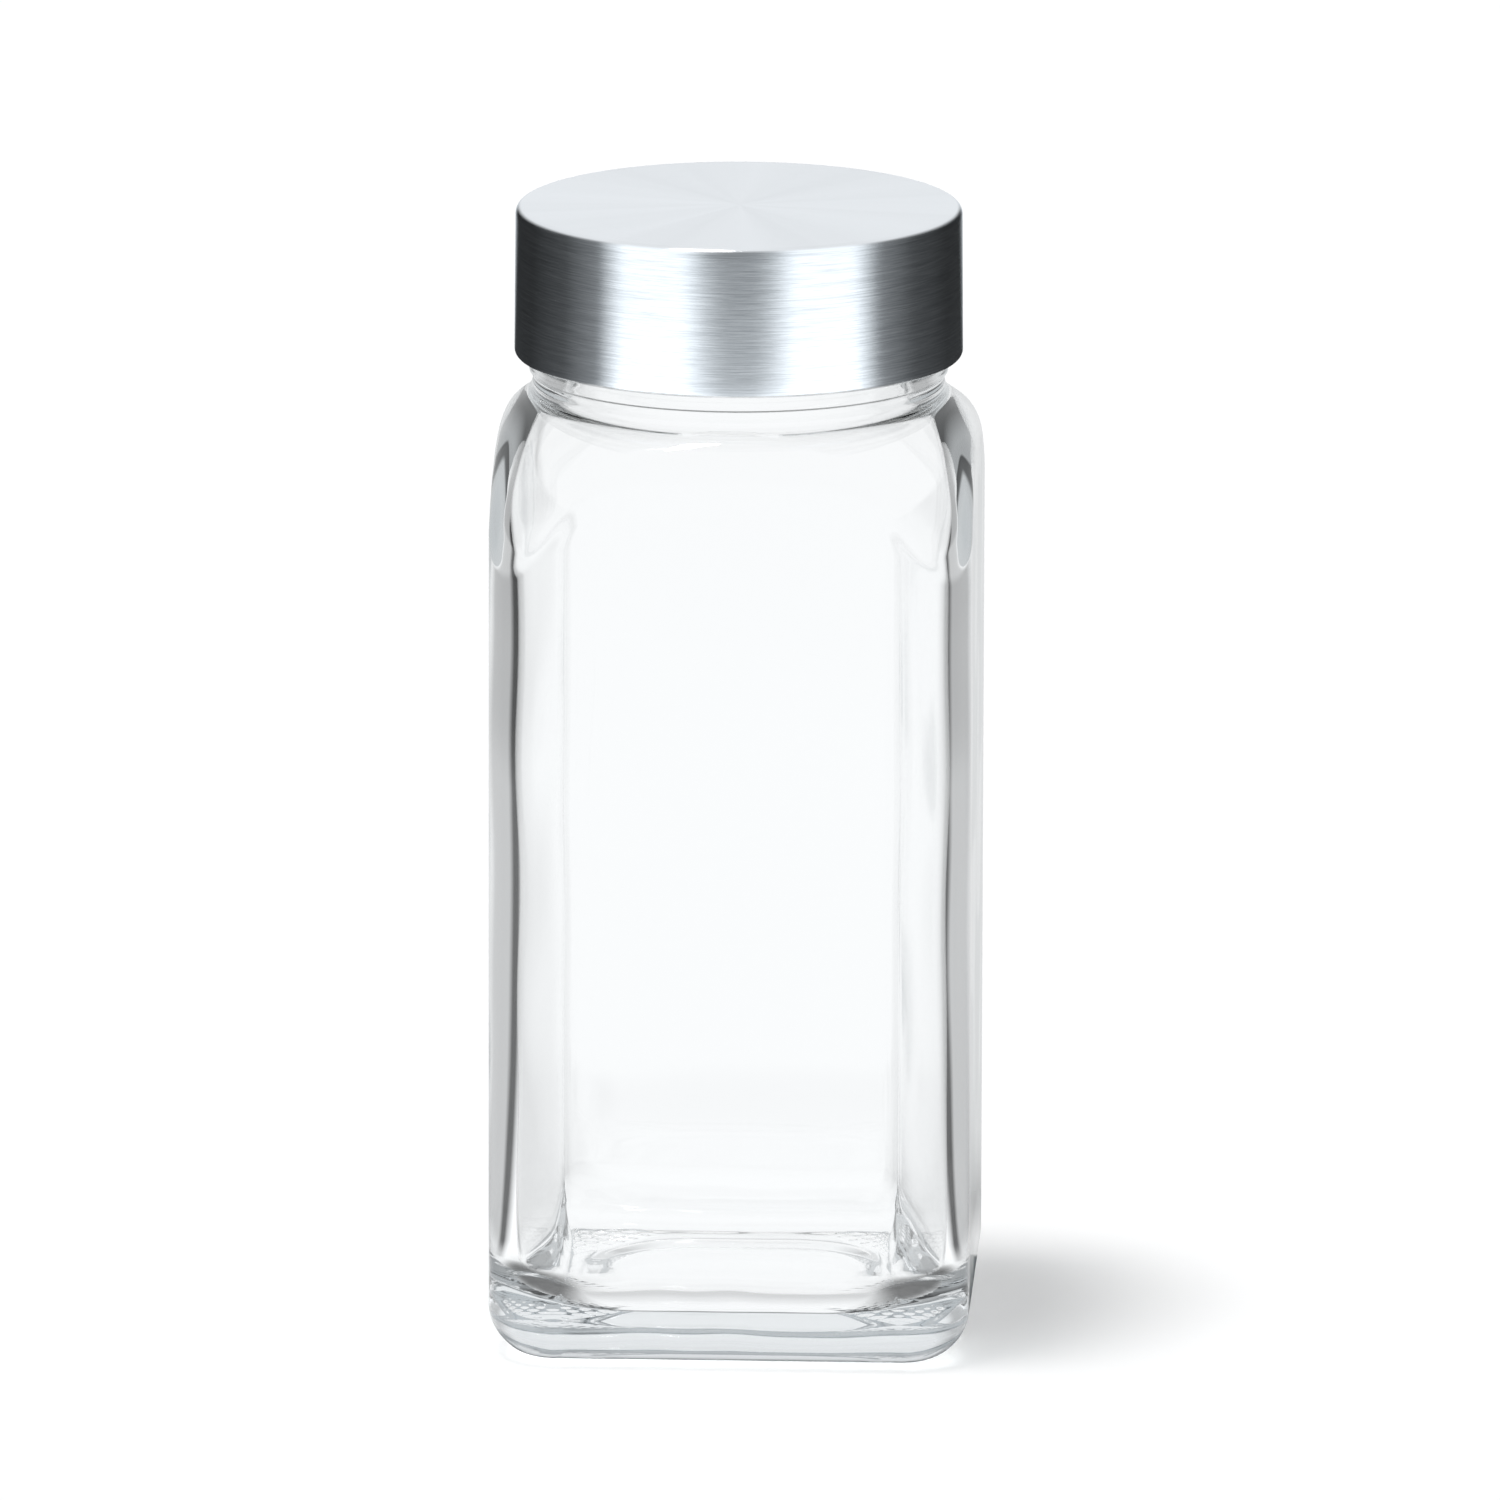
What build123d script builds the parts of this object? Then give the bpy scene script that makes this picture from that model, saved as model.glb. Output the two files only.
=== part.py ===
from build123d import *
import math
import os

os.makedirs("parts", exist_ok=True)

# A square glass spice jar with a screw cap. The cap is a steel shell over a plastic insert with a soft liner.
# Lengths are in millimetres, angles in degrees. The jar stands on Z = 0 and its front face looks along -Y.

# Whole jar
overall_height = 117.0  # floor to the top of the cap
cap_height = 15.5  # outside height of the steel shell

# Glass body, outside
body_width = 49.4  # between opposite faces
corner_radius = 7.0  # upright edges
heel_radius = 5.1  # edge round the base
shoulder_gap = 3.7  # from the foot of the neck up to the cap
shoulder_slope = 29.5  # fall of the shoulder where it leaves the neck
corner_slope = 78.0  # its fall where it meets the upright corners
shoulder_ledge = 0.7  # left of it between the neck and the arch of each face

# Glass body, inside
side_wall = 2.4
inner_corner_radius = 6.8  # larger than an even wall would leave, so the corners are thicker
floor_thickness = 5.0
floor_blend = 5.5  # round between the floor and the walls
throat_blend = 2.0  # round where the shoulder turns up into the neck

# Base
bearing_width = 3.4  # flat band that the jar stands on
push_up_depth = 0.9
push_up_side = 8.5  # straight part of each side
push_up_lean = 0.75  # how far its sides lean in on the way up
push_up_blend = 0.5  # rounds at its edges

# Neck and mouth
neck_ring_clearance = 0.4  # between the neck ring and the steel shell's rolled rim
neck_ring_rise = 2.0  # from the shoulder up to the ring's foot
neck_ring_height = 2.4
neck_ring_step = 0.4  # how far the ring stands out over the neck below it
neck_ring_blend = 0.8  # round at its top
neck_hollow = 2.6  # hollow round between the shoulder and the neck
thread_height = 1.0  # space kept for the thread that stands out of the neck
neck_wall = 2.1
rim_blend = 0.9  # rounds on both sides of the rim

# Steel shell
shell_setback = 1.8  # how far the top of its side stands back from the faces of the glass
shell_flare = 0.1  # how much wider it is at its rim
shell_sheet = 0.35
shell_edge_radius = 1.6
curl_radius = 0.55  # rim rolled inwards
curl_turn = 240.0

# Plastic insert
insert_roof = 1.2
insert_wall = 0.9
insert_clearance = 0.05  # between the ribs and the shell
rib_count = 48
rib_height = 0.3
rib_width = 0.7
insert_edge_radius = 1.7
insert_lead_in = 0.4  # bevel inside its foot
thread_clearance = 0.3  # between the glass thread and the insert's wall
bead_radius = 0.6  # section of the bead that holds the liner up
bead_drop = 0.1  # space between the bead and the liner

# Liner
liner_thickness = 1.2
liner_clearance = 0.4  # all round the disc

overrun = 1.0  # how far a cut runs past what it cuts
height_tolerance = 0.01  # within which an edge counts as being at a height

# Heights that follow, from the cap's roof down to the rim and from the cap's foot down to the shoulder
shell_roof = overall_height - shell_sheet
liner_top = shell_roof - insert_roof
rim_height = liner_top - liner_thickness
cap_foot = overall_height - cap_height
insert_foot = cap_foot + 2 * curl_radius + insert_clearance
shoulder_top = cap_foot - shoulder_gap
neck_ring_foot = shoulder_top + neck_ring_rise
neck_ring_top = neck_ring_foot + neck_ring_height

# Radii that follow, from the faces inwards to the mouth
half_width = body_width / 2
shell_radius = half_width - shell_setback
lip_radius = shell_radius + shell_flare
neck_ring_radius = lip_radius - 2 * curl_radius - neck_ring_clearance
neck_foot_radius = neck_ring_radius - neck_ring_step
neck_ring_edge = neck_ring_step / 2  # round at the ring's foot
skirt_radius = shell_radius - shell_sheet - insert_clearance - rib_height
thread_bore = skirt_radius - insert_wall
liner_radius = thread_bore - liner_clearance
neck_radius = thread_bore - thread_clearance - thread_height
mouth_radius = neck_radius - neck_wall

# Widths that follow
corner_reach = (half_width - corner_radius) * math.sqrt(2) + corner_radius
inner_width = body_width - 2 * side_wall
push_up_width = body_width - 2 * (heel_radius + bearing_width)
push_up_corner_radius = (push_up_width - push_up_side) / 2
push_up_roof_width = push_up_width - 2 * push_up_lean

# The shoulder is a dome about the Z axis. Its side is an arc from the foot of the neck to the corners,
# and the faces round into it over an arc that reaches the dome one ledge out from the neck.
top_fall = math.radians(shoulder_slope)
foot_fall = math.radians(corner_slope)
dome_radius = (corner_reach - neck_foot_radius) / (math.sin(foot_fall) - math.sin(top_fall))
dome_centre = (neck_foot_radius - dome_radius * math.sin(top_fall), shoulder_top - dome_radius * math.cos(top_fall))
ledge_reach = neck_foot_radius + shoulder_ledge
ledge_lean = (ledge_reach - dome_centre[0]) / dome_radius
shoulder_blend = (half_width - ledge_reach) / (1 - ledge_lean)


def rings_at(part, height):
    """Round edges of a part that lie at a height, the smallest first."""
    circles = part.edges().filter_by(GeomType.CIRCLE)
    level = circles.filter_by_position(Axis.Z, height - height_tolerance, height + height_tolerance)
    return level.sort_by(SortBy.LENGTH)


# Inside of the jar, taken out of the glass below
inner_dome_radius = dome_radius - side_wall
throat_angle = math.acos((mouth_radius - dome_centre[0]) / inner_dome_radius)
throat_height = dome_centre[1] + inner_dome_radius * math.sin(throat_angle)

with BuildPart() as cavity:
    with BuildSketch(Plane.XY.offset(floor_thickness)):
        RectangleRounded(inner_width, inner_width, inner_corner_radius)
    extrude(amount=throat_height - floor_thickness)
    with BuildSketch(Plane.XZ):
        with BuildLine():
            side = CenterArc(dome_centre, inner_dome_radius, 0, math.degrees(throat_angle))
            Polyline(side @ 1, (0, throat_height), (0, 0), ((side @ 0).X, 0), side @ 0)
        make_face()
    revolve(axis=Axis.Z, mode=Mode.INTERSECT)
    inner_dome = cavity.faces().sort_by(Axis.Z)[-2]
    fillet(inner_dome.edges().sort_by(Axis.Z)[:-1], shoulder_blend - side_wall)
    fillet(cavity.edges().group_by(Axis.Z)[0], floor_blend)
    with BuildSketch(Plane.XY.offset(throat_height)):
        Circle(mouth_radius)
    extrude(amount=rim_height + overrun - throat_height)
    fillet(rings_at(cavity, throat_height), throat_blend)

# Glass jar
with BuildPart() as jar_body:
    # Square body under a dome, with the crease between them rounded so that each face ends in an arch
    with BuildSketch():
        RectangleRounded(body_width, body_width, corner_radius)
    extrude(amount=shoulder_top)
    fillet(jar_body.edges().group_by(Axis.Z)[0], heel_radius)
    with BuildSketch(Plane.XZ):
        with BuildLine():
            side = CenterArc(dome_centre, dome_radius, 0, 90 - shoulder_slope)
            Polyline(side @ 1, (0, shoulder_top), (0, 0), ((side @ 0).X, 0), side @ 0)
        make_face()
    revolve(axis=Axis.Z, mode=Mode.INTERSECT)
    dome = jar_body.faces().sort_by(Axis.Z)[-2]
    fillet(dome.edges().sort_by(Axis.Z)[:-1], shoulder_blend)

    # Neck, hollow at its foot, with a ring round it
    with BuildSketch(Plane.XZ):
        with Locations((0, shoulder_top - neck_ring_height)):
            Rectangle(neck_foot_radius, neck_ring_foot - shoulder_top + neck_ring_height, align=(Align.MIN, Align.MIN))
        with Locations((0, neck_ring_foot)):
            Rectangle(neck_ring_radius, neck_ring_height, align=(Align.MIN, Align.MIN))
        with Locations((0, neck_ring_foot)):
            Rectangle(neck_radius, rim_height - neck_ring_foot, align=(Align.MIN, Align.MIN))
    revolve(axis=Axis.Z)
    fillet(rings_at(jar_body, shoulder_top), neck_hollow)
    fillet(rings_at(jar_body, neck_ring_foot)[-1], neck_ring_edge)
    fillet(rings_at(jar_body, neck_ring_top)[-1], neck_ring_blend)
    fillet(rings_at(jar_body, rim_height), rim_blend)

    # Hollow and the inner edge of its rim
    add(cavity.part, mode=Mode.SUBTRACT)
    fillet(rings_at(jar_body, rim_height)[0], rim_blend)

    # Push-up under the base
    with BuildSketch():
        RectangleRounded(push_up_width, push_up_width, push_up_corner_radius)
    with BuildSketch(Plane.XY.offset(push_up_depth)):
        RectangleRounded(push_up_roof_width, push_up_roof_width, push_up_corner_radius - push_up_lean)
    loft(mode=Mode.SUBTRACT)
    bearing_face, push_up_roof = jar_body.faces().filter_by(Plane.XY).sort_by(Axis.Z)[:2]
    fillet(push_up_roof.edges() + bearing_face.inner_wires().edges(), push_up_blend)
jar_body.part.label = "jar_body"
export_step(jar_body.part, "parts/jar_body.step")

# Steel shell: one sheet, drawn into a cup and rolled inwards at its rim
with BuildPart() as cap_shell:
    with BuildSketch(Plane.XZ):
        corner_x = shell_radius - shell_edge_radius
        corner_z = overall_height - shell_edge_radius
        curl_centre = (lip_radius - curl_radius, cap_foot + curl_radius)
        with BuildLine():
            Line((0, overall_height), (corner_x, overall_height))
            CenterArc((corner_x, corner_z), shell_edge_radius, 0, 90)
            Line((shell_radius, corner_z), (lip_radius, curl_centre[1]))
            outer_curl = CenterArc(curl_centre, curl_radius, 0, -curl_turn)
            inner_curl = CenterArc(curl_centre, curl_radius - shell_sheet, 0, -curl_turn)
            Line(outer_curl @ 1, inner_curl @ 1)
            Line((lip_radius - shell_sheet, curl_centre[1]), (shell_radius - shell_sheet, corner_z))
            CenterArc((corner_x, corner_z), shell_edge_radius - shell_sheet, 0, 90)
            Line((corner_x, shell_roof), (0, shell_roof))
            Line((0, shell_roof), (0, overall_height))
        make_face()
    revolve(axis=Axis.Z)
cap_shell.part.label = "cap_shell"
export_step(cap_shell.part, "parts/cap_shell.step")

# Plastic insert: a cup with grip ribs outside and a bead inside that holds the liner
with BuildPart() as cap_insert:
    with BuildSketch(Plane.XZ) as insert_profile:
        with Locations((0, insert_foot)):
            Rectangle(skirt_radius, shell_roof - insert_foot, align=(Align.MIN, Align.MIN))
        fillet(insert_profile.vertices().sort_by(Axis.X)[-2:].sort_by(Axis.Y)[-1], insert_edge_radius)
        with Locations((0, insert_foot)):
            Rectangle(thread_bore, liner_top - insert_foot, align=(Align.MIN, Align.MIN), mode=Mode.SUBTRACT)
        with Locations((thread_bore, rim_height - bead_drop - bead_radius)):
            Circle(bead_radius)
    revolve(axis=Axis.Z)
    chamfer(rings_at(cap_insert, insert_foot)[0], insert_lead_in)
    with BuildSketch(Plane.XY.offset(insert_foot)):
        with PolarLocations(skirt_radius - rib_height, rib_count):
            Rectangle(2 * rib_height, rib_width, align=(Align.MIN, Align.CENTER))
    extrude(amount=shell_roof - insert_edge_radius - insert_foot)
cap_insert.part.label = "cap_insert"
export_step(cap_insert.part, "parts/cap_insert.step")

# Liner: a soft disc that rests on the rim
with BuildPart() as cap_liner:
    with BuildSketch(Plane.XY.offset(rim_height)):
        Circle(liner_radius)
    extrude(amount=liner_thickness)
cap_liner.part.label = "cap_liner"
export_step(cap_liner.part, "parts/cap_liner.step")
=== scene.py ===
import math

import bmesh
import bpy
import numpy as np
from mathutils import Matrix, Vector


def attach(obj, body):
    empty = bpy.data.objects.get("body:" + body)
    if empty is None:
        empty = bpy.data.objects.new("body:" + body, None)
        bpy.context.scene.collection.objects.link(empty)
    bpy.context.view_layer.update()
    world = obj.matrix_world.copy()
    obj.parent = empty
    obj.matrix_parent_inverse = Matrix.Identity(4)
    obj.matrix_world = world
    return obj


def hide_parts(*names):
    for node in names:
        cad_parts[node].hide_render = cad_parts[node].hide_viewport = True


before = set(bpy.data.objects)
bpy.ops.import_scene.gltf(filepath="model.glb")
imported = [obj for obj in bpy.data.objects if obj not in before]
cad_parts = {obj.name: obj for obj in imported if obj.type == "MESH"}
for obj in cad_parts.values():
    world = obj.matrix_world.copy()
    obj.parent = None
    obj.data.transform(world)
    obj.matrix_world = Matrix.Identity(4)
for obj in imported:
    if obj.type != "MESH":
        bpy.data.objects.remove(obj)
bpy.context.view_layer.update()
MM = 0.001
DEGREE = math.pi / 180

# Sizes in millimetres, as in the solids
HALF, CORNER, HEEL = 24.7, 7.0, 5.1
WALL, INNER_CORNER, FLOOR, FLOOR_BLEND, THROAT_BLEND = 2.4, 6.8, 5.0, 5.5, 2.0
PUSH_UP, PUSH_UP_SIDE, PUSH_UP_LEAN, BEARING = 0.9, 8.5, 0.75, 3.4
NECK_FOOT, HOLLOW = 21.1, 2.6
SHOULDER_TOP, SHOULDER_SLOPE, CORNER_SLOPE, LEDGE = 97.8, 29.5, 78.0, 0.7
RING, RING_FOOT, RING_TOP, RING_BLEND, RING_EDGE = 21.5, 99.8, 102.2, 0.8, 0.2
NECK, MOUTH, RIM, RIM_BLEND = 20.0, 17.9, 114.25, 0.9
CAP_TOP, CAP_FOOT, SHELL, LIP, SHEET, CURL = 117.0, 101.5, 22.9, 23.0, 0.35, 0.55
BORE = 21.3

# Threads, which the solids don't have, and the round along the cap's top edge
THREAD_LEAD, THREAD_STARTS, THREAD_FOOT, THREAD_TURN, THREAD_FIRST = 9.0, 2, 104.6, 235.0, 40
THREAD_CREST, THREAD_HALF, THREAD_FADE, THREAD_ROOT = 0.95, 1.15, 16, 0.3
INSERT_TURN, INSERT_FIRST, INSERT_STEPS, INSERT_DROP = 190.0, 35, 120, 1.5
INSERT_CREST, INSERT_HALF, INSERT_SUNK = 0.85, 0.75, 0.15
SHELL_EDGE = 0.9

# Stipples on the bearing band: rows across each corner, bumps along a row, and the patch that they fill
STIPPLE_ROW, STIPPLE_PITCH, STIPPLE_HEIGHT = 1.9, 1.8, 0.16
STIPPLE_WIDE, STIPPLE_LONG, STIPPLE_FULLNESS = 0.62, 0.78, 0.8
STIPPLE_FIRST, PATCH_NEAR, PATCH_FAR, PATCH_SOFT = 19.4, 18.6, 26.4, 0.8
PATCH_ALONG, PATCH_ALONG_SOFT = 6.6, 1.2

# How far the moulding is uneven, and the rounds that differ from the solids
HEEL_UNEVEN, BAND_UNEVEN, FLOOR_UNEVEN = 0.30, 0.10, 0.35
PUSH_UP_SPREAD, BAND_START, INNER_BLEND_EXTRA, FLOOR_CORNER_GAIN = 3.4, 0.3, 3.5, 0.35

# The shoulder's dome, as in the solids
corner_reach = (HALF - CORNER) * math.sqrt(2) + CORNER
top_fall, foot_fall = math.radians(SHOULDER_SLOPE), math.radians(CORNER_SLOPE)
DOME = (corner_reach - NECK_FOOT) / (math.sin(foot_fall) - math.sin(top_fall))
DX, DZ = NECK_FOOT - DOME * math.sin(top_fall), SHOULDER_TOP - DOME * math.cos(top_fall)
BLEND = (HALF - NECK_FOOT - LEDGE) / (1 - (NECK_FOOT + LEDGE - DX) / DOME)


# Meshes

def mesh_object(name, points, faces, smooth=True):
    """A mesh object from points in millimetres."""
    mesh = bpy.data.meshes.new(name)
    mesh.from_pydata([tuple(p) for p in np.asarray(points) * MM], [], faces)
    bm = bmesh.new()
    bm.from_mesh(mesh)
    bmesh.ops.recalc_face_normals(bm, faces=bm.faces)
    bm.to_mesh(mesh)
    bm.free()
    mesh.polygons.foreach_set("use_smooth", [smooth] * len(mesh.polygons))
    mesh.update()
    ob = bpy.data.objects.new(name, mesh)
    bpy.context.scene.collection.objects.link(ob)
    return ob


def grid_faces(rows, cols):
    """Quads between rows of points that run round an axis."""
    out = []
    for i in range(rows - 1):
        a, b = i * cols, (i + 1) * cols
        for j in range(cols):
            k = (j + 1) % cols
            out.append((a + j, a + k, b + k, b + j))
    return out


def closed_form(name, rows, angles, first_height, last_height):
    """A mesh from rows of (radius, height) about Z, closed by a point on the axis at each end."""
    cols = len(angles)
    points = [np.column_stack([r * np.cos(angles), r * np.sin(angles), z * np.ones(cols)]) for r, z in rows]
    points.append(np.array([[0, 0, first_height], [0, 0, last_height]]))
    faces = grid_faces(len(rows), cols)
    end, last = len(rows) * cols, (len(rows) - 1) * cols
    for j in range(cols):
        k = (j + 1) % cols
        faces.append((end, k, j))
        faces.append((end + 1, last + j, last + k))
    return mesh_object(name, np.concatenate(points), faces)


def turned(name, outline, cols):
    """A closed form turned about Z from an outline of (radius, height) that starts and ends on the axis."""
    angles = np.linspace(0, 2 * np.pi, cols, endpoint=False)
    return closed_form(name, outline[1:-1], angles, outline[0][1], outline[-1][1])


def arc(cx, cz, radius, start, end, count):
    """Points of an arc in the (radius, height) plane, angles in degrees."""
    return [(cx + radius * math.cos(math.radians(a)), cz + radius * math.sin(math.radians(a)))
            for a in np.linspace(start, end, count)]


def steps(start, end, count):
    """Evenly spaced values after the start, up to the end."""
    return np.linspace(start, end, count)[1:]


# Glass

def column_angles():
    """Directions of the glass's columns, closer together at the corners."""
    faces = [np.arange(0, 30, 1.2), np.arange(30, 60, 0.6), np.arange(60, 90, 1.2)]
    quarter = np.unique(np.concatenate(faces))
    return np.radians(np.concatenate([quarter + 90 * k for k in range(4)]))


theta = column_angles()
# Once round the jar, from 0 to 1, how far the moulding is off
uneven = 0.5 + 0.25 * np.sin(7 * theta + 1.1) + 0.15 * np.sin(12 * theta + 0.4) + 0.1 * np.sin(19 * theta)


def rounded(half, corner):
    """Distance from the axis to a rounded square in each direction."""
    t = np.abs((theta + np.pi / 4) % (np.pi / 2) - np.pi / 4)
    side = half - corner
    u = side * (np.cos(t) + np.sin(t))
    round_part = u + np.sqrt(np.maximum(u * u - 2 * side * side + corner * corner, 0))
    return np.where(half * np.tan(t) <= side, half / np.cos(t), round_part)


def stipples(x, y):
    """Height of the bearing band above the table: low bumps in a patch at each corner."""
    along = (np.abs(x) - np.abs(y)) / math.sqrt(2)
    out = (np.abs(x) + np.abs(y)) / math.sqrt(2)
    row = np.round((out - STIPPLE_FIRST) / STIPPLE_ROW)
    dv = out - STIPPLE_FIRST - STIPPLE_ROW * row
    half_pitch = STIPPLE_PITCH / 2
    du = (along - half_pitch * (row % 2) + half_pitch) % STIPPLE_PITCH - half_pitch
    bump = np.clip(1 - (du / STIPPLE_WIDE) ** 2 - (dv / STIPPLE_LONG) ** 2, 0, 1) ** STIPPLE_FULLNESS
    patch = np.clip((PATCH_ALONG - np.abs(along)) / PATCH_ALONG_SOFT, 0, 1)
    patch = patch * np.clip((out - PATCH_NEAR) / PATCH_SOFT, 0, 1)
    patch = patch * np.clip((PATCH_FAR - out) / PATCH_SOFT, 0, 1)
    return STIPPLE_HEIGHT * patch * (1 - bump)


def thread_height(z):
    """Share of the thread's full height in each direction at a height, for a right-hand thread."""
    best = np.zeros(len(theta))
    along = np.degrees(theta) % 360
    for k in range(THREAD_STARTS):
        for extra in (0, 360):
            run = along + extra - THREAD_FIRST - k * 360 / THREAD_STARTS
            centre = THREAD_FOOT + THREAD_LEAD * run / 360
            ends = np.clip(np.minimum(run, THREAD_TURN - run) / THREAD_FADE, 0, 1)
            shape = np.clip(1 - np.abs(z - centre) / THREAD_HALF, 0, 1)
            ridge_here = ends * shape * shape * (3 - 2 * shape)
            best = np.maximum(best, np.where((run > 0) & (run < THREAD_TURN), ridge_here, 0))
    return best


def base_rows(add):
    """The push-up, the bearing band and the heel."""
    push = HALF - HEEL - BEARING
    push_corner = push - PUSH_UP_SIDE / 2
    roof, roof_corner = push - PUSH_UP_LEAN, push_corner - PUSH_UP_LEAN
    for s in np.linspace(0.1, 1, 9):
        add(rounded(roof - PUSH_UP_SPREAD, roof_corner - PUSH_UP_SPREAD) * s, PUSH_UP)
    for t in steps(0, 1, 17):
        off = (PUSH_UP_LEAN + PUSH_UP_SPREAD + BAND_START) * t - PUSH_UP_SPREAD
        add(rounded(roof + off, roof_corner + off), PUSH_UP * (1 + math.cos(math.pi * t)) / 2)
    inner = rounded(push + BAND_START, push_corner + BAND_START)
    outer = rounded(HALF - HEEL, CORNER - HEEL)
    for s in np.linspace(0, 1, 34)[1:-1]:
        r = inner + (outer - inner) * s
        off = BAND_UNEVEN * uneven * math.sin(math.pi * s) ** 2
        add(r, stipples(r * np.cos(theta), r * np.sin(theta)) + off)
    for a in np.linspace(0, np.pi / 2, 17):
        off = HEEL * (1 - math.sin(a)) + HEEL_UNEVEN * uneven * math.sin(2 * a) ** 2
        add(rounded(HALF - off, CORNER - off), HEEL * (1 - math.cos(a)))


def shoulder_rows(add):
    """The faces, the round into the dome, the dome and the hollow at the foot of the neck."""
    wall = rounded(HALF, CORNER)
    cx = wall - BLEND
    zc = DZ + np.sqrt(np.maximum((DOME - BLEND) ** 2 - (cx - DX) ** 2, 0))
    end = np.arctan2(zc - DZ, cx - DX)
    for s in steps(0, 1, 26):
        add(wall, HEEL + (zc - HEEL) * s)

    hr = NECK_FOOT + HOLLOW
    on_dome = DZ + math.sqrt((DOME + HOLLOW) ** 2 - (hr - DX) ** 2)
    touch = math.atan2(on_dome - DZ, hr - DX)
    clear = touch > end
    on_round = zc + np.sqrt(np.maximum((BLEND + HOLLOW) ** 2 - (hr - cx) ** 2, 0))
    hz = np.where(clear, on_dome, on_round)
    lean = np.where(clear, touch, np.arctan2(on_round - zc, hr - cx))
    stop = np.where(clear, end, lean)
    share = np.linspace(0, 1, 40)[:, None]
    round_part = (cx + BLEND * np.cos(stop * share), zc + BLEND * np.sin(stop * share))
    sweep = end + (np.maximum(lean, end) - end) * share
    dome_part = (DX + DOME * np.cos(sweep), DZ + DOME * np.sin(sweep))
    sweep = np.pi + lean * (1 - share)
    hollow_part = (hr + HOLLOW * np.cos(sweep), hz + HOLLOW * np.sin(sweep))
    spread = np.zeros((2, 60, len(theta)))
    for j in range(len(theta)):
        parts = [round_part] + ([dome_part] if clear[j] else []) + [hollow_part]
        r, z = (np.concatenate([p[i][:, j] for p in parts]) for i in (0, 1))
        run = np.concatenate([[0], np.cumsum(np.hypot(np.diff(r), np.diff(z)))])
        at = steps(0, run[-1], 61)
        spread[0, :, j], spread[1, :, j] = np.interp(at, run, r), np.interp(at, run, z)
    for r, z in zip(*spread):
        add(r, z)
    for s in steps(0, 1, 3):
        add(NECK_FOOT, hz + (RING_FOOT - hz) * s)


def neck_rows(add):
    """The ring, the thread and the rim."""
    ring = arc(RING - RING_EDGE, RING_FOOT + RING_EDGE, RING_EDGE, -90, 0, 5)
    ring += [(RING, z) for z in steps(RING_FOOT + RING_EDGE, RING_TOP - RING_BLEND, 4)]
    ring += arc(RING - RING_BLEND, RING_TOP - RING_BLEND, RING_BLEND, 0, 90, 7)[1:]
    ring += arc(NECK + THREAD_ROOT, RING_TOP + THREAD_ROOT, THREAD_ROOT, 270, 180, 5)
    for r, z in ring:
        add(r, z)
    for z in steps(RING_TOP + THREAD_ROOT, RIM - RIM_BLEND, 52):
        add(NECK + THREAD_CREST * thread_height(z), z)
    rim = arc(NECK - RIM_BLEND, RIM - RIM_BLEND, RIM_BLEND, 0, 90, 7)[1:]
    rim += arc(MOUTH + RIM_BLEND, RIM - RIM_BLEND, RIM_BLEND, 90, 180, 7)
    for r, z in rim:
        add(r, z)


def inside_rows(add):
    """Bore, throat, under the shoulder, walls and floor."""
    inner_dome = DOME - WALL
    tr = MOUTH + THROAT_BLEND
    tz = DZ + math.sqrt((inner_dome + THROAT_BLEND) ** 2 - (tr - DX) ** 2)
    for s in steps(0, 1, 12):
        add(MOUTH, RIM - RIM_BLEND + (tz - RIM + RIM_BLEND) * s)
    lean = math.atan2(tz - DZ, tr - DX) + math.pi
    for s in steps(0, 1, 9):
        a = math.pi + (lean - math.pi) * s
        add(tr + THROAT_BLEND * math.cos(a), tz + THROAT_BLEND * math.sin(a))
    throat_r = tr + THROAT_BLEND * math.cos(lean)
    wall = rounded(HALF - WALL, INNER_CORNER)
    blend = BLEND - WALL + INNER_BLEND_EXTRA
    zi = DZ + np.sqrt(np.maximum((inner_dome - blend) ** 2 - (wall - blend - DX) ** 2, 0))
    turn = np.arctan2(zi - DZ, wall - blend - DX)
    dome_end = wall - blend + blend * np.cos(turn)
    for s in steps(0, 1, 10):
        r = throat_r + (dome_end - throat_r) * s
        add(r, DZ + np.sqrt(np.maximum(inner_dome**2 - (r - DX) ** 2, 0)))
    for s in steps(1, 0, 11):
        add(wall - blend + blend * np.cos(turn * s), zi + blend * np.sin(turn * s))
    top = FLOOR + FLOOR_BLEND
    at_corner = np.clip((wall - (HALF - WALL)) / 3.0, 0, 1)
    for s in steps(0, 1, 40):
        z = zi + (top - zi) * s
        fade = np.sin(np.pi * s) ** 0.5
        wave = 0.10 * np.sin(z / 7.3 + 2.0 * np.sin(theta))
        wave += 0.06 * np.sin(z / 3.9 + 5.0 * np.cos(theta + 0.6))
        add(wall + wave * at_corner * fade, z)
    for a in steps(0, np.pi / 2, 19):
        off = FLOOR_BLEND * (1 - math.cos(a))
        r = rounded(HALF - WALL - off, INNER_CORNER + FLOOR_CORNER_GAIN * off)
        add(r - FLOOR_UNEVEN * uneven * math.sin(2 * a) ** 2, top - FLOOR_BLEND * math.sin(a))
    flat = rounded(HALF - WALL - FLOOR_BLEND, INNER_CORNER + FLOOR_CORNER_GAIN * FLOOR_BLEND)
    for s in steps(1, 0.1, 19):
        add(flat * s, FLOOR)


def glass_rows():
    """Rows of (radius, height) from the base's middle up the outside, over the rim and down the inside."""
    rows = []

    def add(r, z):
        rows.append((r * np.ones(len(theta)), z * np.ones(len(theta))))

    for rows_of_part in (base_rows, shoulder_rows, neck_rows, inside_rows):
        rows_of_part(add)
    return rows


glass = closed_form("jar_glass", glass_rows(), theta, PUSH_UP, FLOOR)


# Steel shell

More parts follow.
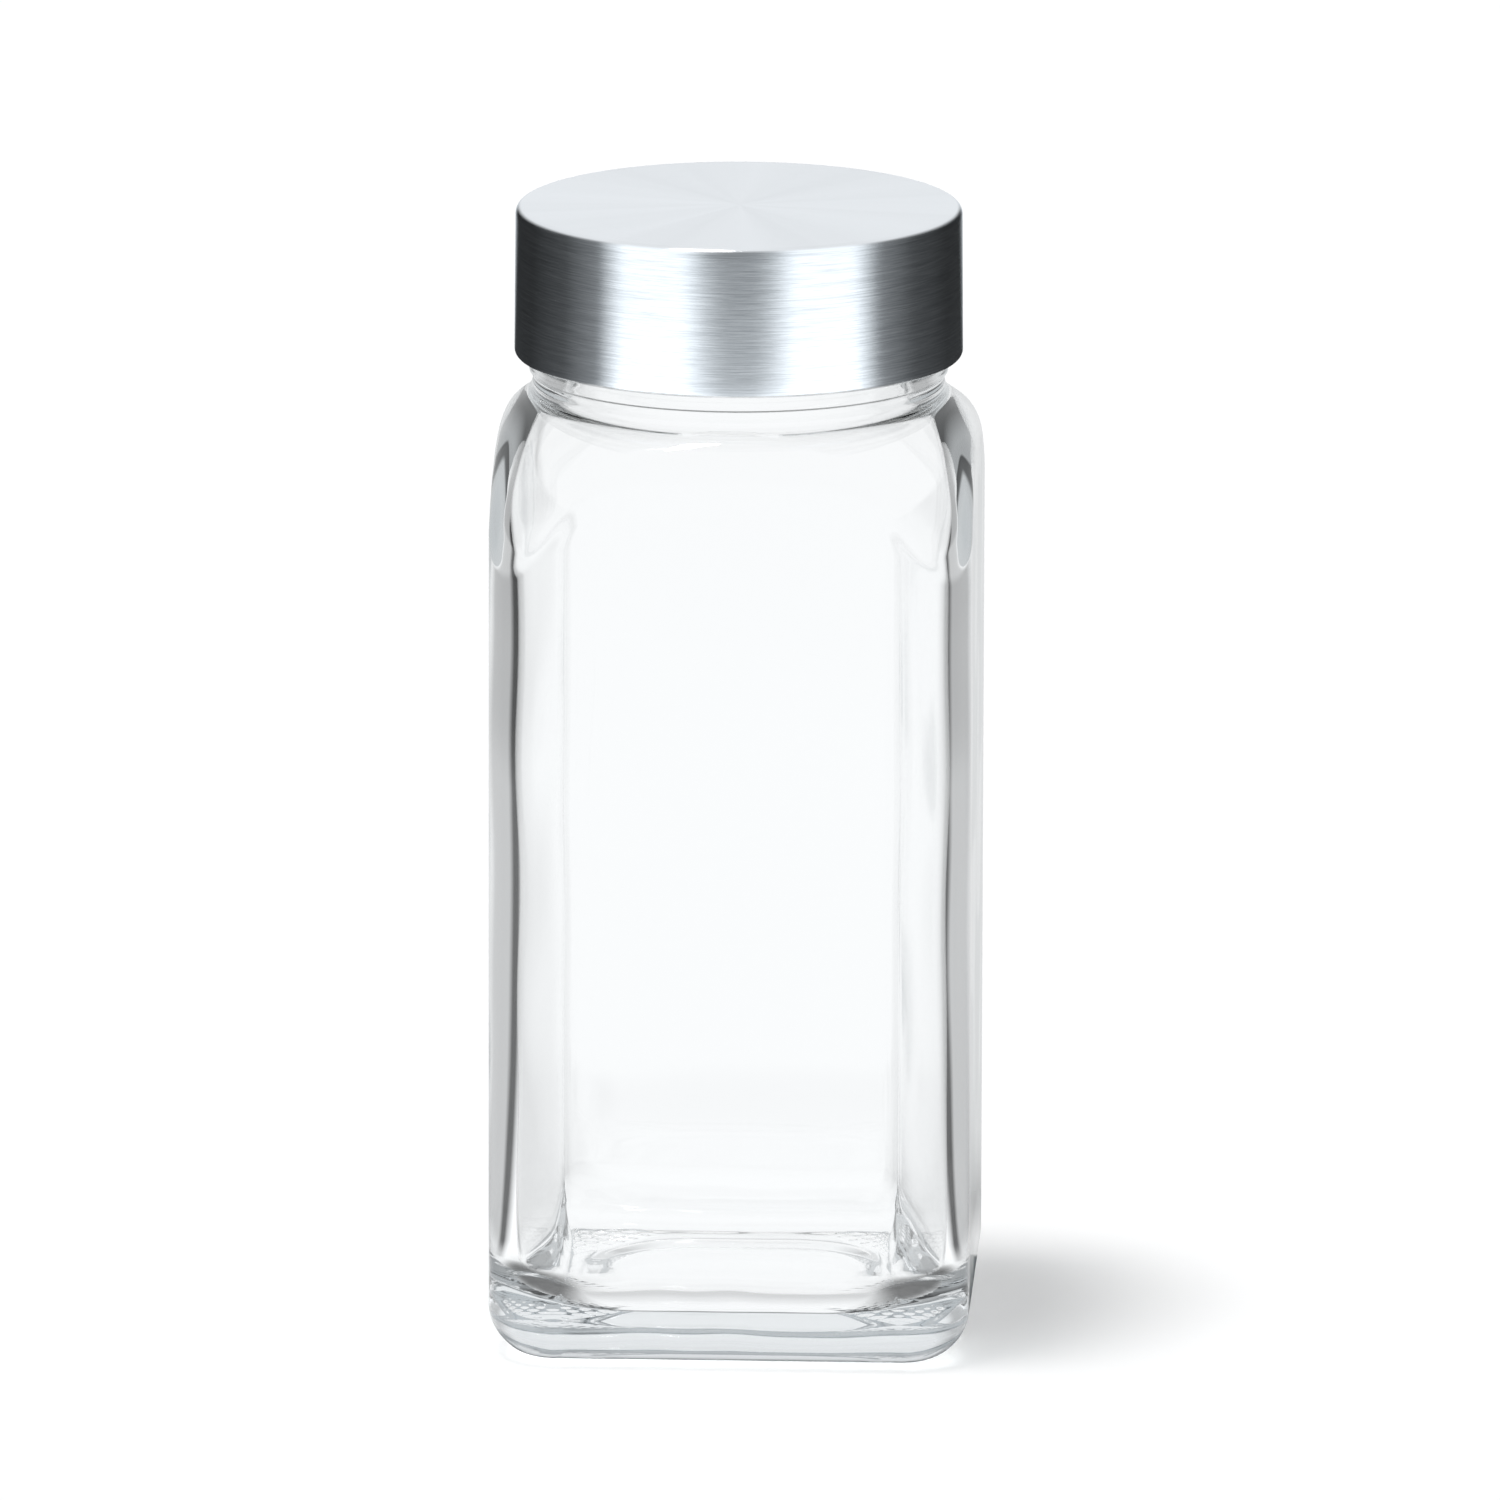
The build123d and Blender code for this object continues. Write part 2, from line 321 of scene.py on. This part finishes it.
def shell_outline():
    """The steel from the middle of the top, down the outside, round the curl and back up inside."""
    edge_r, edge_z = SHELL - SHELL_EDGE, CAP_TOP - SHELL_EDGE
    foot = CAP_FOOT + CURL
    out = [(0, CAP_TOP)] + [(r, CAP_TOP) for r in np.linspace(1.5, edge_r, 16)]
    out += arc(edge_r, edge_z, SHELL_EDGE, 90, 0, 14)[1:]
    out += [(SHELL + (LIP - SHELL) * s, edge_z + (foot - edge_z) * s) for s in steps(0, 1, 14)]
    out += arc(LIP - CURL, foot, CURL, 0, -240, 20)[1:]
    out += arc(LIP - CURL, foot, CURL - SHEET, -240, 0, 12)
    out += [(SHELL + (LIP - SHELL) * s - SHEET, edge_z + (foot - edge_z) * s) for s in steps(1, 0, 8)]
    out += arc(edge_r, edge_z, SHELL_EDGE - SHEET, 0, 90, 8)[1:]
    return out + [(r, CAP_TOP - SHEET) for r in steps(edge_r, 1.5, 8)] + [(0, CAP_TOP - SHEET)]


shell = turned("cap_steel", shell_outline(), 288)


# Thread inside the insert

def insert_thread():
    """One closed ridge for each start, on the insert's bore."""
    made_points, made_faces = [], []
    rising = [(INSERT_SUNK, -1), (0.0, -0.95), (-0.6, -0.45), (-0.92, -0.2)]
    falling = [(r, -h) for r, h in reversed(rising)]
    section = [(r if r > 0 else INSERT_CREST * r, INSERT_HALF * h) for r, h in rising + [(-1, 0.0)] + falling]
    n = len(section)
    for k in range(THREAD_STARTS):
        first = len(made_points)
        for i in range(INSERT_STEPS + 1):
            run = INSERT_FIRST + INSERT_TURN * i / INSERT_STEPS
            a = math.radians(run + THREAD_FIRST + 360 * k / THREAD_STARTS)
            z = THREAD_FOOT + THREAD_LEAD * run / 360 - INSERT_DROP
            fade = min(1, 10 * min(i, INSERT_STEPS - i) / INSERT_STEPS + 0.12)
            for dr, dz in section:
                r = BORE + (dr if dr > 0 else dr * fade)
                made_points.append((r * math.cos(a), r * math.sin(a), z + dz * (0.35 + 0.65 * fade)))
        for i in range(INSERT_STEPS):
            a0, b0 = first + i * n, first + (i + 1) * n
            for j in range(n):
                made_faces.append((a0 + j, a0 + (j + 1) % n, b0 + (j + 1) % n, b0 + j))
        made_faces.append(tuple(first + j for j in range(n)))
        made_faces.append(tuple(first + INSERT_STEPS * n + j for j in reversed(range(n))))
    return mesh_object("cap_insert_thread", made_points, made_faces)


ridge = insert_thread()


# Shader nodes

def fill(nt, socket, value):
    """Links another node's output to an input, or sets a plain value."""
    if isinstance(value, bpy.types.NodeSocket):
        nt.links.new(value, socket)
    elif value is not None:
        socket.default_value = value


def node(nt, kind, settings=None, **inputs):
    """A shader node with its settings, and its inputs by name, written with _ for a space."""
    n = nt.nodes.new("ShaderNode" + kind)
    for name, value in (settings or {}).items():
        setattr(n, name, value)
    for name, value in inputs.items():
        fill(nt, n.inputs[name.replace("_", " ")], value)
    return n


def new_material(name):
    mat = bpy.data.materials.new(name)
    mat.use_nodes = True
    mat.node_tree.nodes.clear()
    return mat, mat.node_tree


def math_node(nt, op, a, b=None):
    n = node(nt, "Math", {"operation": op})
    fill(nt, n.inputs[0], a)
    fill(nt, n.inputs[1], b)
    return n.outputs[0]


def product(nt, a, b):
    return math_node(nt, "MULTIPLY", a, b)


def hypotenuse(nt, a, b):
    return math_node(nt, "SQRT", math_node(nt, "ADD", product(nt, a, a), product(nt, b, b)))


def heading(nt, x, y):
    """Direction round the jar in radians, from the front."""
    return math_node(nt, "ARCTAN2", x, product(nt, y, -1.0))


def ranged(nt, source, low, high, start, end, curve="SMOOTHSTEP"):
    """A value moved from one range to another, and kept inside it."""
    return node(nt, "MapRange", {"interpolation_type": curve}, Value=source, From_Min=low, From_Max=high,
                To_Min=start, To_Max=end).outputs[0]


def straight(nt, source, low, high, start=0.0, end=1.0):
    return ranged(nt, source, low, high, start, end, "LINEAR")


def mixed(nt, factor, a, b, kind="FLOAT"):
    return node(nt, "Mix", {"data_type": kind}, Factor=factor, A=a, B=b).outputs["Result"]


def mixed_shader(nt, share, first, second):
    n = node(nt, "MixShader")
    for socket, value in zip(n.inputs, (share, first, second)):
        fill(nt, socket, value)
    return n.outputs[0]


def emission(nt, colour, strength=1.0):
    return node(nt, "Emission", Color=colour, Strength=strength).outputs[0]


def noise(nt, vector, scale, detail, roughness=0.5):
    return node(nt, "TexNoise", Vector=vector, Scale=scale, Detail=detail, Roughness=roughness).outputs["Fac"]


def bumped(nt, height, strength, distance):
    return node(nt, "Bump", Strength=strength, Distance=distance, Height=height).outputs["Normal"]


def split(nt, vector):
    return node(nt, "SeparateXYZ", Vector=vector).outputs


def place(nt, centre=(0, 0, 0)):
    """The shaded point's place from a centre."""
    move = node(nt, "VectorMath", {"operation": "SUBTRACT"})
    fill(nt, move.inputs[0], node(nt, "NewGeometry").outputs["Position"])
    fill(nt, move.inputs[1], centre)
    return move.outputs[0]


def value_ramp(nt, source, stops, low, high, unit, top=1.0):
    """A ramp of plain values, or of colours, over a range of the source. Stops and range are in the unit."""
    ramp = node(nt, "ValToRGB")
    fill(nt, ramp.inputs[0], straight(nt, source, low * unit, high * unit))
    elements = ramp.color_ramp.elements
    while len(elements) < len(stops):
        elements.new(0.5)
    for e, (at, *_) in zip(elements, stops):
        e.position = (at - low) / (high - low)
    for e, (_, *rgb) in zip(elements, stops):
        e.color = (*[c / top for c in (rgb if len(rgb) == 3 else rgb * 3)], 1)
    return ramp.outputs[0]


# Materials of the jar

# Light given back to trapped paths, by height in millimetres: in the middle of the jar and at its sides
TRAPPED_MIDDLE = [(0, 0.30), (6, 0.45), (12, 0.6), (84, 0.8), (120, 0.9)]
TRAPPED_SIDES = [(0, 0.05), (8, 0.12), (14, 0.60), (80, 0.68), (85.5, 0.62), (87.5, 0.14), (93, 0.09),
                 (95.5, 0.45), (99, 0.4), (100, 0.16), (120, 0.16)]
TRAPPED_HEIGHT = 120
TRAPPED_AFTER = 4.5  # reflections inside the glass, after which Cycles ends a path

# Heights in metres between which the steel grows smoother, and between which lines give way to rays of painted
# highlight
STEEL_ROUND = (0.1158, 0.1166)
STEEL_TOP = (0.1164, 0.1168)


def trapped_light(nt, coord):
    """Light of paths that Cycles ends inside the glass: greyer towards the sides."""
    x, _, z = split(nt, coord)
    middle = value_ramp(nt, z, TRAPPED_MIDDLE, 0, TRAPPED_HEIGHT, MM)
    sides = value_ramp(nt, z, TRAPPED_SIDES, 0, TRAPPED_HEIGHT, MM)
    return mixed(nt, ranged(nt, math_node(nt, "ABSOLUTE", x), 11 * MM, 19 * MM, 0.0, 1.0), middle, sides)


def glass_material():
    """Clear glass, slightly blue where it is thick, which lets lamps through."""
    mat, nt = new_material("clear_glass")
    coord = node(nt, "TexCoord").outputs["Object"]
    ripple = noise(nt, node(nt, "Mapping", Vector=coord, Scale=(60, 60, 22)).outputs["Vector"], 1.0, 1.0)
    path = node(nt, "LightPath").outputs
    # The glass glows with painted light where Cycles ends a path inside it, greyer towards the sides
    trapped = math_node(nt, "GREATER_THAN", path["Glossy Depth"], TRAPPED_AFTER)
    bsdf = node(nt, "BsdfPrincipled", Base_Color=(1, 1, 1, 1), Roughness=0.0, IOR=1.52,
                Transmission_Weight=1.0, Normal=bumped(nt, ripple, 1.0, 0.00006),
                Emission_Color=(0.95, 0.985, 1.0, 1),
                Emission_Strength=product(nt, trapped, trapped_light(nt, coord)))
    clear = node(nt, "BsdfTransparent", Color=(0.79, 0.80, 0.80, 1))
    surface = mixed_shader(nt, path["Is Shadow Ray"], bsdf.outputs[0], clear.outputs[0])
    tint = node(nt, "VolumeAbsorption", Color=(0.13, 0.24, 0.32, 1), Density=4.0)
    node(nt, "OutputMaterial", Surface=surface, Volume=tint.outputs[0])
    mat.cycles.emission_sampling = "NONE"
    return mat


def round_vector(nt, angle, scale, third=None):
    """A vector that goes round with the angle, for lines that run round the axis and for painted highlight rays
    from it.
    """
    x, y = (product(nt, math_node(nt, op, angle), scale) for op in ("COSINE", "SINE"))
    return node(nt, "CombineXYZ", X=x, Y=y, Z=third).outputs[0]


def brushed_steel():
    """Steel with fine lines that run round the axis, on the side and on the top, and painted highlight rays in
    the top's colour.
    """
    mat, nt = new_material("brushed_cap_steel")
    x, y, z = split(nt, node(nt, "TexCoord").outputs["Object"])
    angle = math_node(nt, "ARCTAN2", y, x)
    across = math_node(nt, "SUBTRACT", hypotenuse(nt, x, y), z)
    lines = noise(nt, round_vector(nt, angle, 4.0, product(nt, across, 6500.0)), 1.0, 5.0, 0.72)
    # Painted highlight: rays from the middle of the top that lighten its colour, as light caught in spun lines
    # would
    rays = noise(nt, round_vector(nt, angle, 2.0), 1.0, 4.0)
    side = mixed(nt, straight(nt, lines, 0.32, 0.68), (0.64, 0.65, 0.66, 1), (0.97, 0.975, 0.98, 1), "RGBA")
    # The top's colour, lighter in the painted highlight rays
    top = straight(nt, rays, 0.35, 0.65, 0.87, 0.935)
    shine = straight(nt, z, *STEEL_ROUND, 1.0, 0.65)
    tangent = node(nt, "Tangent", {"direction_type": "RADIAL", "axis": "Z"}).outputs[0]
    bsdf = node(nt, "BsdfPrincipled", Metallic=1.0, Anisotropic=0.9, Anisotropic_Rotation=0.25,
                Base_Color=mixed(nt, straight(nt, z, *STEEL_TOP), side, top, "RGBA"),
                Roughness=product(nt, straight(nt, lines, 0.3, 0.7, 0.15, 0.23), shine),
                Normal=bumped(nt, lines, 0.5, 0.00002), Tangent=tangent)
    node(nt, "OutputMaterial", Surface=bsdf.outputs[0])
    return mat


def plastic(name, low, high, roughness, grain, depth):
    """A moulded plastic or foam with a fine grain."""
    mat, nt = new_material(name)
    fine = noise(nt, node(nt, "TexCoord").outputs["Object"], grain, 4.0)
    bsdf = node(nt, "BsdfPrincipled", Base_Color=mixed(nt, fine, low, high, "RGBA"),
                Roughness=straight(nt, fine, 0.0, 1.0, roughness - 0.08, roughness + 0.08),
                Normal=bumped(nt, fine, 0.4, depth))
    node(nt, "OutputMaterial", Surface=bsdf.outputs[0])
    return mat


steel = brushed_steel()
clear = glass_material()
moulded = plastic("insert_plastic", (0.78, 0.78, 0.76, 1), (0.84, 0.84, 0.82, 1), 0.42, 900, 0.00002)
foam = plastic("liner_foam", (0.74, 0.73, 0.70, 1), (0.86, 0.85, 0.82, 1), 0.75, 2600, 0.00006)
for ob, mat in ((glass, clear), (shell, steel), (ridge, moulded)):
    ob.data.materials.append(mat)
for name, mat in (("cap_insert", moulded), ("cap_liner", foam)):
    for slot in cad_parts[name].material_slots:
        slot.link = "OBJECT"
        slot.material = mat

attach(glass, "jar")
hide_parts("jar_body")
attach(shell, "cap")
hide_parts("cap_shell")
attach(ridge, "cap")


# Floor, light and camera

# The camera, fitted to the outline: pixels for each millimetre, angles in degrees, places in millimetres
SCALE, ELEV, YAW, ROLL = 9.714, 12.839, 2.494, 0.152
AIM_X, AIM_Z, DIST, PHOTO_WIDTH, SENSOR = 1.262, 59.691, 2500.0, 1500, 36
elev, yaw, roll = math.radians(ELEV), math.radians(YAW), math.radians(ROLL)
back = Vector((math.sin(yaw) * math.cos(elev), -math.cos(yaw) * math.cos(elev), math.sin(elev)))
right = Vector((math.cos(yaw), math.sin(yaw), 0))
up = back.cross(right)

# Light seen through the glass, in degrees to either side of the front: bright in front, a dark strip at the side,
# a grey room, and white paper behind
THROUGH = [(87, 1.15), (95, 0.05), (101, 0.05), (107, 0.5), (145, 0.55), (162, 0.965), (180, 0.965)]
THROUGH_TOP = 1.2
THROUGH_TINT = (0.985, 1.0, 1.008, 1)

# Mirrored in the glass, in degrees from the front
MIRRORED = [
    (-180, 0.72), (-155, 0.66), (-125, 0.35), (-95, 0.25), (-60, 0.7), (-30, 1.0), (30, 1.0), (60, 0.7),
    (95, 0.12), (130, 0.12), (145, 0.35), (162, 0.70), (180, 0.76),
]

# What the cap's side reflects, in degrees to either side of the camera: a grey gap, a soft box, a dark room, and
# the pale paper behind
SIDE = [(3, 0.65), (13, 1.4), (27, 1.4), (34, 0.25), (45, 0.08), (60, 0.03), (75, 0.03), (82, 0.8)]
SIDE_TOP = 1.4
SIDE_TINT = (0.93, 1.0, 1.06, 1)
CAP_CENTRE = (0, 0, 0.109)

# The floor: its paleness and lift, and in metres where the jar's own surroundings end
FLOOR_ALBEDO, FLOOR_LIFT, FLOOR_DEPTH, FLOOR_HALF = 0.8, 0.22, -0.1, 3000
NEAR_END, FAR_START = 0.034, 0.06
# Colour of the painted shade under the heel, which only mirrored rays see
PAINTED_HEEL_SHADE_COLOUR = (0.06, 0.07, 0.075, 1)
DRUM, DRUM_FOOT, DRUM_TOP, GLOBE = 250, 0.2, 260, 85


def both_sides(stops, middle=0):
    """Stops on both sides of an angle, from the stops for one side."""
    return sorted((middle + sign * at, level) for at, level in stops for sign in (-1, 1))


def mirrored_light(nt):
    """Light that the outside of the glass mirrors, by direction round the jar."""
    x, y, _ = split(nt, place(nt))
    return value_ramp(nt, heading(nt, x, y), MIRRORED, -180, 180, DEGREE)


def through_light(nt):
    """Light by direction round the jar, a little deeper in its greys high up than low down, and painted shade
    under the jar's front.
    """
    x, y, z = split(nt, place(nt))
    level = value_ramp(nt, heading(nt, x, y), both_sides(THROUGH), -180, 180, DEGREE, THROUGH_TOP)
    level = product(nt, level, THROUGH_TOP)
    level = math_node(nt, "POWER", level, ranged(nt, z, 0.0, 0.035, 0.72, 1.15))

    # Close to the jar the floor is white, with painted shade under the front corners and a lighter painted shade
    # under the front
    near = ranged(nt, hypotenuse(nt, x, y), NEAR_END, FAR_START, 1.0, 0.0)
    corner = product(nt, ranged(nt, math_node(nt, "ABSOLUTE", x), 0.012, 0.021, 0.0, 1.0),
                     ranged(nt, y, -0.016, -0.004, 1.0, 0.0))
    front = product(nt, ranged(nt, y, -0.023, -0.018, 1.0, 0.0), 0.30)
    painted_shade = math_node(nt, "MAXIMUM", product(nt, corner, 0.85), front)
    return mixed(nt, near, level, math_node(nt, "SUBTRACT", 1.0, painted_shade))


def mirror_ray(nt, path):
    """1 for rays that a surface mirrors, and 0 for those that clear glass lets through."""
    return math_node(nt, "SUBTRACT", path["Is Glossy Ray"], path["Is Transmission Ray"])


def with_mirrored(nt, shader, share):
    """A shader that gives way to the mirrored light."""
    return mixed_shader(nt, share, shader, emission(nt, THROUGH_TINT, mirrored_light(nt)))


def floor_material():
    """Pale paper. What the camera and metal see of it is lifted to white, and it keeps shadows."""
    mat, nt = new_material("studio_floor")
    path = node(nt, "LightPath").outputs
    seen = math_node(nt, "MAXIMUM", path["Is Camera Ray"], path["Is Glossy Ray"])
    paper = node(nt, "BsdfDiffuse", Color=(FLOOR_ALBEDO, FLOOR_ALBEDO, FLOOR_ALBEDO, 1))
    both = node(nt, "AddShader")
    fill(nt, both.inputs[0], paper.outputs[0])
    fill(nt, both.inputs[1], emission(nt, (1, 1, 1, 1), product(nt, seen, FLOOR_LIFT)))
    lit = emission(nt, THROUGH_TINT, through_light(nt))
    shader = mixed_shader(nt, path["Is Transmission Ray"], both.outputs[0], lit)
    x, y, _ = split(nt, place(nt))
    mirrored = mirror_ray(nt, path)

    # Painted shade under the heel: a dark place that only mirrored rays see, which the heel mirrors as a line
    # along the foot of the glass
    edge = math_node(nt, "MAXIMUM", math_node(nt, "ABSOLUTE", x), math_node(nt, "ABSOLUTE", y))
    under = product(nt, ranged(nt, edge, 0.018, 0.020, 0.0, 1.0), ranged(nt, edge, 0.0247, 0.027, 1.0, 0.0))
    shader = mixed_shader(nt, product(nt, mirrored, under), shader, emission(nt, PAINTED_HEEL_SHADE_COLOUR))
    far = product(nt, mirrored, ranged(nt, hypotenuse(nt, x, y), NEAR_END, FAR_START, 0.0, 1.0))
    node(nt, "OutputMaterial", Surface=with_mirrored(nt, shader, far))
    return mat


def refracted_material():
    """The backdrop that the glass shows."""
    mat, nt = new_material("refracted_backdrop")
    lit = emission(nt, THROUGH_TINT, through_light(nt))
    mirrored = mirror_ray(nt, node(nt, "LightPath").outputs)
    node(nt, "OutputMaterial", Surface=with_mirrored(nt, lit, mirrored))
    return mat


def reflected_material():
    """The backdrop that the steel shows. It is clear from outside and to the glass."""
    mat, nt = new_material("reflected_backdrop")
    unit = node(nt, "VectorMath", {"operation": "NORMALIZE"})
    fill(nt, unit.inputs[0], place(nt, CAP_CENTRE))
    half = node(nt, "VectorMath", {"operation": "ADD"})
    fill(nt, half.inputs[0], unit.outputs[0])
    fill(nt, half.inputs[1], back)
    x, y, z = split(nt, half.outputs[0])
    facing = heading(nt, x, y)
    tilt = math_node(nt, "ARCTAN2", z, hypotenuse(nt, x, y))
    side = value_ramp(nt, facing, both_sides(SIDE, YAW), YAW - 90, YAW + 90, DEGREE, SIDE_TOP)

    # The side's upper part is darker, and most of all in its middle
    high = ranged(nt, tilt, -0.03, 0.06, 0.0, 1.0)
    off = math_node(nt, "ABSOLUTE", math_node(nt, "SUBTRACT", facing, yaw))
    centre = ranged(nt, off, 5 * DEGREE, 13 * DEGREE, 0.5, 0.0)
    fall = product(nt, math_node(nt, "SUBTRACT", 1.0, product(nt, high, centre)),
                   math_node(nt, "SUBTRACT", 1.18, product(nt, high, 0.30)))
    side_glow = emission(nt, SIDE_TINT, product(nt, side, product(nt, fall, SIDE_TOP)))
    top_glow = emission(nt, (0.96, 1.0, 1.04, 1), 0.87)
    lid = mixed_shader(nt, ranged(nt, tilt, 28 * DEGREE, 48 * DEGREE, 0.0, 1.0), side_glow, top_glow)
    rough_ray = math_node(nt, "SUBTRACT", 1.0, node(nt, "LightPath").outputs["Is Singular Ray"])
    shown = product(nt, node(nt, "NewGeometry").outputs["Backfacing"], rough_ray)
    clear_side = node(nt, "BsdfTransparent").outputs[0]
    node(nt, "OutputMaterial", Surface=mixed_shader(nt, shown, clear_side, lid))
    return mat


def only_seen(ob, glossy, transmission):
    """A stage piece that only some kinds of ray see."""
    ob.visible_camera = ob.visible_diffuse = ob.visible_shadow = ob.visible_volume_scatter = False
    ob.visible_glossy = glossy
    ob.visible_transmission = transmission


corners = [(x * FLOOR_HALF, y * FLOOR_HALF, FLOOR_DEPTH) for x, y in ((-1, -1), (1, -1), (1, 1), (-1, 1))]
floor = mesh_object("studio_floor", corners, [(0, 1, 2, 3)], smooth=False)
floor.data.materials.append(floor_material())

angles = np.linspace(0, 2 * np.pi, 180, endpoint=False)
rounds = [np.column_stack([DRUM * np.cos(angles), DRUM * np.sin(angles), np.full(len(angles), z)])
          for z in (DRUM_FOOT, DRUM_TOP)]
drum = mesh_object("refracted_backdrop", np.concatenate(rounds), grid_faces(2, len(angles)))
drum.data.materials.append(refracted_material())
only_seen(drum, True, True)

half_round = [(GLOBE * math.sin(a), CAP_CENTRE[2] / MM - GLOBE * math.cos(a))
              for a in np.linspace(0, math.pi, 60)]
globe = turned("reflected_backdrop", half_round, 120)
globe.data.materials.append(reflected_material())
only_seen(globe, True, False)

world = bpy.data.worlds.new("studio")
bpy.context.scene.world = world
world.use_nodes = True
nt = world.node_tree
nt.nodes.clear()
soft = node(nt, "Background", Color=(0.98, 0.99, 1.0, 1), Strength=0.5)
white = node(nt, "Background", Color=(1, 1, 1, 1), Strength=1.0)
path = node(nt, "LightPath").outputs
seen = math_node(nt, "MAXIMUM", path["Is Camera Ray"],
                 math_node(nt, "MAXIMUM", path["Is Glossy Ray"], path["Is Transmission Ray"]))
node(nt, "OutputWorld", Surface=mixed_shader(nt, seen, soft.outputs[0], white.outputs[0]))

sun = bpy.data.lights.new("key_light", "SUN")
sun.energy = 1.65
sun.angle = math.radians(12)
key = bpy.data.objects.new("key_light", sun)
bpy.context.scene.collection.objects.link(key)
key.rotation_mode = "QUATERNION"
key.rotation_quaternion = Vector((19, 8, -109)).to_track_quat("-Z", "Y")

aim = Vector((0, 0, AIM_Z)) + right * AIM_X
across, above = right * math.cos(roll) + up * math.sin(roll), up * math.cos(roll) - right * math.sin(roll)
data = bpy.data.cameras.new("camera")
data.sensor_width = SENSOR
data.lens = SENSOR * SCALE * DIST / PHOTO_WIDTH
data.clip_start, data.clip_end = 0.1, 100
camera = bpy.data.objects.new("camera", data)
bpy.context.scene.collection.objects.link(camera)
camera.matrix_world = Matrix((across, above, back)).transposed().to_4x4()
camera.location = (aim + back * DIST) * MM
bpy.context.scene.camera = camera
bpy.context.scene.view_settings.view_transform = "Standard"

bpy.context.view_layer.update()
